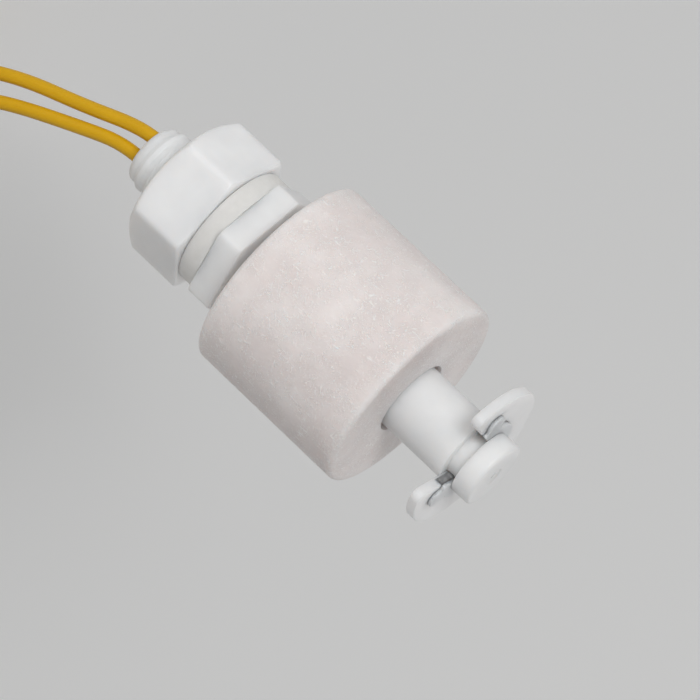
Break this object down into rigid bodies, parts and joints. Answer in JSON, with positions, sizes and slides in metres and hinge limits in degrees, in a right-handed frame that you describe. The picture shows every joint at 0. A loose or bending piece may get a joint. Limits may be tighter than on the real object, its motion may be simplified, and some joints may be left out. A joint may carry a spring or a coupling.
{
  "type": "float level switch",
  "caption": "Small white plastic float level switch with a vertical stem, a frosted cylindrical float, a threaded stub with hex nut, a push-on clip and yellow leads.",
  "frame": {"origin": "on the stem's axis, in the plane of the hex flange's face that seals against the tank wall", "axes": "+Z along the stem, from the flange through the float to the clip; the threaded stub points to -Z; -Y is the side where the clip's mouth and one corner of the hex flange are"},
  "size_m": [0.0527, 0.0343, 0.0831],
  "materials": {
    "stem_plastic": "white, slightly translucent moulded polypropylene with a satin skin",
    "nut_plastic": "white moulded polypropylene, satin",
    "washer_rubber": "milky silicone rubber",
    "float_foam": "foamed polypropylene, frosted, warm white with a fine sparkling grain",
    "cap_plastic": "warm white polypropylene, welded in flush",
    "clip_plastic": "white moulded polypropylene, thin and translucent at the rim",
    "magnet_ferrite": "dark grey sintered ferrite",
    "reed_glass": "clear pale green glass",
    "contact_metal": "nickel iron, plated",
    "solder": "bright solder",
    "shrink_tube": "black heat-shrink tube",
    "wire_pvc": "golden yellow PVC cover, satin gloss",
    "tinned_copper": "tinned copper strands",
    "resin": "milky epoxy",
    "tie_plastic": "black flat tie"
  },
  "bodies": {
    "stem": {"stem_body": "stem_plastic", "retaining_clip": "clip_plastic", "reed_glass": "reed_glass", "reed_blade_lower": "contact_metal", "reed_blade_upper": "contact_metal", "solder_joint_lower": "solder", "solder_joint_upper": "solder", "shrink_sleeve_lower": "shrink_tube", "shrink_sleeve_upper": "shrink_tube", "wire_a_inner": "wire_pvc", "wire_b_inner": "wire_pvc", "potting_plug": "resin", "wire_a_run": "wire_pvc", "wire_b_run": "wire_pvc", "wire_a_coil": "wire_pvc", "wire_b_coil": "wire_pvc", "wire_a_tip": "tinned_copper", "wire_b_tip": "tinned_copper", "coil_tie": "tie_plastic"},
    "washer": {"seal_washer": "washer_rubber"},
    "nut": {"lock_nut": "nut_plastic"},
    "magnet": {"float_magnet": "magnet_ferrite"},
    "float": {"float_shell": "float_foam", "float_cap": "cap_plastic"}
  },
  "joints": [
    {"name": "washer_slide", "type": "slide", "parent": "stem", "child": "washer", "axis": [0, 0, -1], "range_m": [0, 0.0045]},
    {"name": "nut_turn", "type": "hinge", "parent": "washer", "child": "nut", "pos_m": [0, 0, -0.0065], "axis": [0, 0, -1], "range_deg": [0, 1080]},
    {"name": "float_slide", "type": "slide", "parent": "stem", "child": "magnet", "axis": [0, 0, 1], "range_m": [0, 0.00855]},
    {"name": "float_spin", "type": "hinge", "parent": "magnet", "child": "float", "pos_m": [0, 0, 0.0158], "axis": [0, 0, 1], "continuous": true}
  ],
  "couplings": [
    {"joint": "washer_slide", "follows": "nut_turn", "m_per_rad": 0.00023873}
  ]
}
